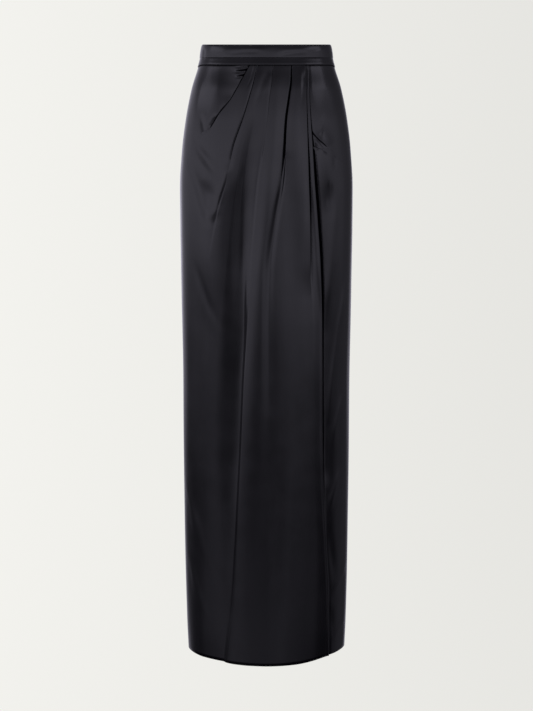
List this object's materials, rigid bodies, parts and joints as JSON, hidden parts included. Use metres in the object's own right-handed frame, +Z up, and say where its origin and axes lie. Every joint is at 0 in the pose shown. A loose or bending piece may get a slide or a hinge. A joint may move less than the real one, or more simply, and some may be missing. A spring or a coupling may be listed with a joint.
{
  "type": "satin maxi skirt",
  "caption": "Long column skirt in satin, filled out and hollow: waistband, pleated wrap front with a free edge, slanted pockets, two-piece back and a back zip with a hinged pull.",
  "frame": {"origin": "middle of the waist opening, level with the waistband's top edge", "axes": "+Z up along the body, -Y towards the front, +X towards the viewer's right as seen from the front"},
  "size_m": [0.3116, 0.2539, 1.116],
  "materials": {
    "satin": "smooth black satin with a soft sheen",
    "zip_tape": "matt woven tape",
    "zip_metal": "black lacquered metal"
  },
  "bodies": {
    "root": {"waistband": "satin", "front_wrap": "satin", "front_under": "satin", "pocket_left": "satin", "pocket_right": "satin", "back_left": "satin", "back_right": "satin", "zip_tape": "zip_tape", "zip_slider": "zip_metal"},
    "pull": {"zip_pull": "zip_metal"}
  },
  "joints": [
    {"name": "pull_hinge", "type": "hinge", "parent": "root", "child": "pull", "pos_m": [0, 0.09924, -0.00809], "axis": [1, 0, 0], "range_deg": [0, 160]}
  ]
}
